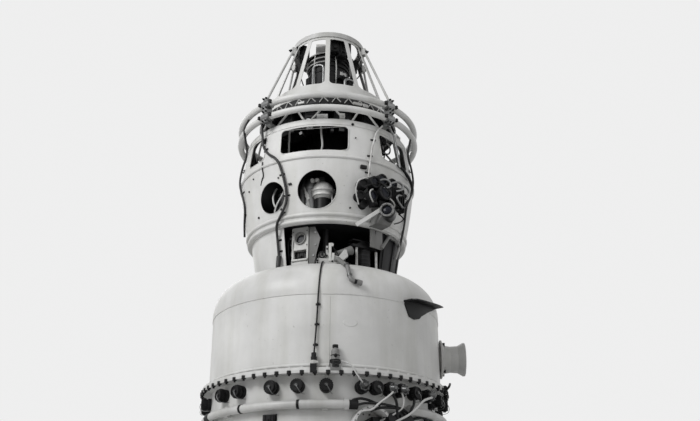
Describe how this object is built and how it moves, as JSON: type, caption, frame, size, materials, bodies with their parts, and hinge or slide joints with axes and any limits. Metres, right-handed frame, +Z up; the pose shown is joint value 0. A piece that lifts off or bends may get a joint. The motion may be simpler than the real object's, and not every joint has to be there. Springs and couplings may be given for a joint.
{
  "type": "space capsule",
  "caption": "Upright space capsule: flanged instrument section on a base ring, domed cylinder, barrel upper body with portholes and windows, twin hoops and an open conical cage.",
  "frame": {"origin": "on the floor under the capsule's axis, in the plane of the base ring's lower face", "axes": "+Z up along the axis to the cage, -Y towards the open bay and the large porthole, +X towards the side horn"},
  "size_m": [1.4005, 1.3087, 3.14],
  "materials": {
    "white_enamel": "satin",
    "bare_metal": "satin",
    "black_enamel": "satin"
  },
  "bodies": {
    "root": {"barrel_sensor": "bare_metal", "base_ring": "white_enamel", "bay_black_unit": "black_enamel", "bay_braces": "bare_metal", "bay_inner_panel": "black_enamel", "bay_posts": "bare_metal", "beaded_band": "white_enamel", "bent_bracket": "bare_metal", "black_hood": "black_enamel", "body_cables": "black_enamel", "bottle_stand": "black_enamel", "cage_cone": "white_enamel", "cage_deck": "bare_metal", "cage_drum": "black_enamel", "cage_pipe_loops": "bare_metal", "cage_top_ring": "white_enamel", "cage_top_units": "bare_metal", "cage_truss": "white_enamel", "cluster_arm": "bare_metal", "core_column": "bare_metal", "deck_units": "black_enamel", "flange_valve": "bare_metal", "front_rod": "black_enamel", "hook_pipe": "bare_metal", "hoop_clamps": "bare_metal", "instrument_cluster": "black_enamel", "instrument_skirt": "white_enamel", "lens_box": "white_enamel", "lower_bulkhead": "white_enamel", "lower_deck": "bare_metal", "lower_flange": "white_enamel", "lower_hoop": "white_enamel", "lower_shell": "white_enamel", "main_cylinder": "white_enamel", "manifold_pipe": "white_enamel", "middle_deck": "bare_metal", "outer_struts": "white_enamel", "porthole_bay_units": "black_enamel", "porthole_shell": "white_enamel", "round_connectors": "black_enamel", "sensor_bracket": "bare_metal", "service_port_gear": "black_enamel", "service_port_rims": "white_enamel", "shell_rim": "white_enamel", "shoulder_fitting": "bare_metal", "side_horn": "white_enamel", "skirt_leads": "white_enamel", "spherical_bottle": "bare_metal", "upper_flange": "white_enamel", "upper_hoop": "white_enamel", "waist_bead": "white_enamel", "window_shell": "white_enamel"}
  },
  "joints": []
}
